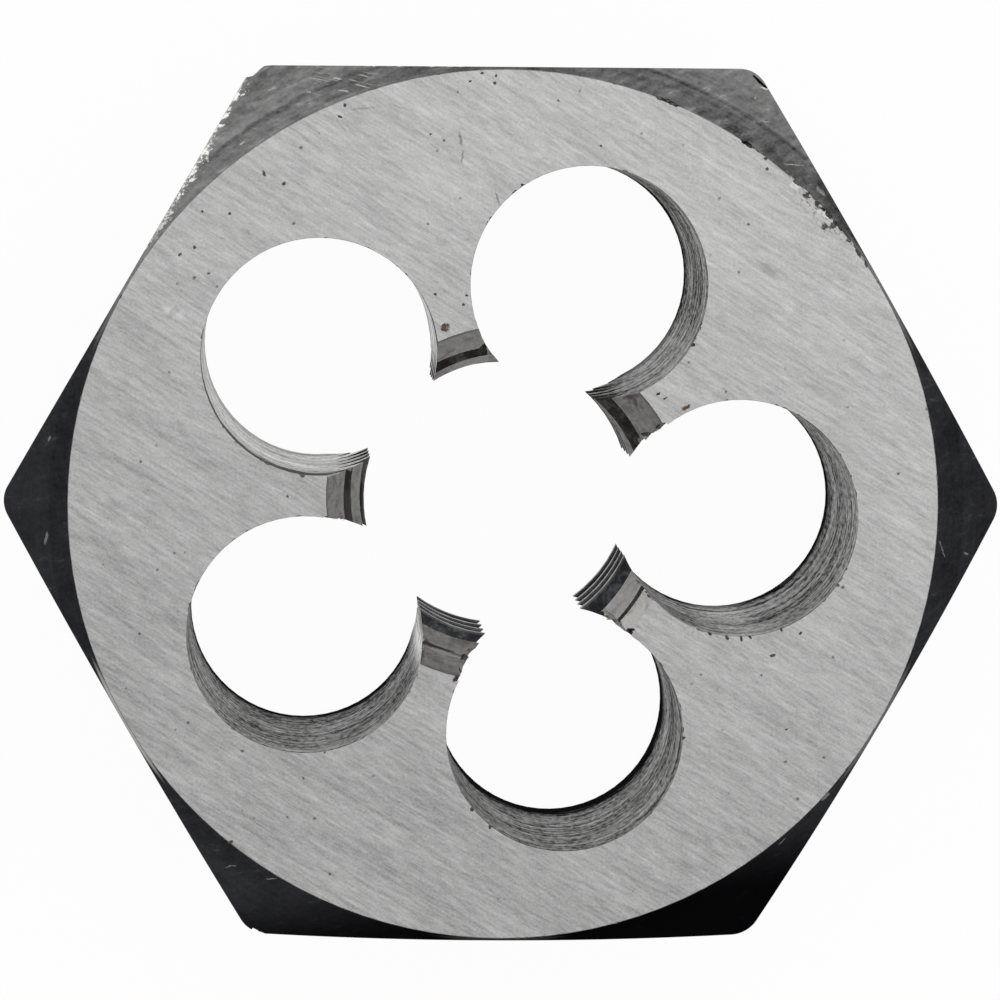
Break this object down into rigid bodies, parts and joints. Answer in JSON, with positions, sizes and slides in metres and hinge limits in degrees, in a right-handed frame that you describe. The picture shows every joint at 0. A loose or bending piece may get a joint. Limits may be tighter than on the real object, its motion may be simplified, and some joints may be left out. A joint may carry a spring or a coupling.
{
  "type": "hex threading die",
  "caption": "Hexagonal threading die for cutting an outside thread on a rod. Chip holes around the tapped bore leave narrow toothed lands, with a conical lead at both faces.",
  "frame": {"origin": "middle of the back face, on the thread's axis", "axes": "+Z along the thread's axis towards the face in the picture, +X towards a corner of the hexagon, +Y square to a flat"},
  "size_m": [0.0308, 0.027, 0.011],
  "materials": {
    "tool_steel": "ground faces, blackened corners and thread grooves, light rust specks"
  },
  "bodies": {
    "root": {"threading_die": "tool_steel"}
  },
  "joints": []
}
